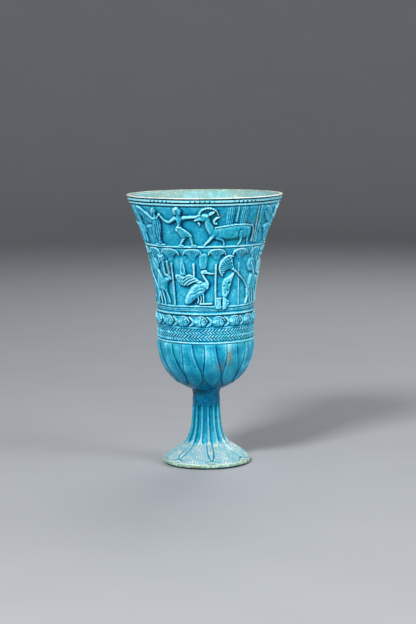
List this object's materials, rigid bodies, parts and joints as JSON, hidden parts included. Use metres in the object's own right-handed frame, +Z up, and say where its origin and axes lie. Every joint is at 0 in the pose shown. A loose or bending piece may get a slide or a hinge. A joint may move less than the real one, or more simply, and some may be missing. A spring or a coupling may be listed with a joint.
{
  "type": "chalice",
  "caption": "Footed drinking chalice in glazed faience: bell-shaped cup with relief registers and a sepal calyx, on a fluted stem with a hollow spreading foot.",
  "frame": {"origin": "centre of the underside of the foot, on the surface that the chalice stands on", "axes": "+Z up along the axis of the chalice, out of the mouth; -Y is the side that the picture shows"},
  "size_m": [0.0834, 0.0834, 0.145],
  "materials": {
    "turquoise_glaze": "glossy turquoise copper glaze, pooled darker in the carving and thin and pale on its ridges",
    "deep_glaze": "thick deep blue glaze over smoothed paste",
    "pale_glaze": "turquoise glaze that thins to pale green at the edge of the foot"
  },
  "bodies": {
    "root": {"cup": "turquoise_glaze", "luting_collar": "deep_glaze", "stem_foot": "pale_glaze"}
  },
  "joints": []
}
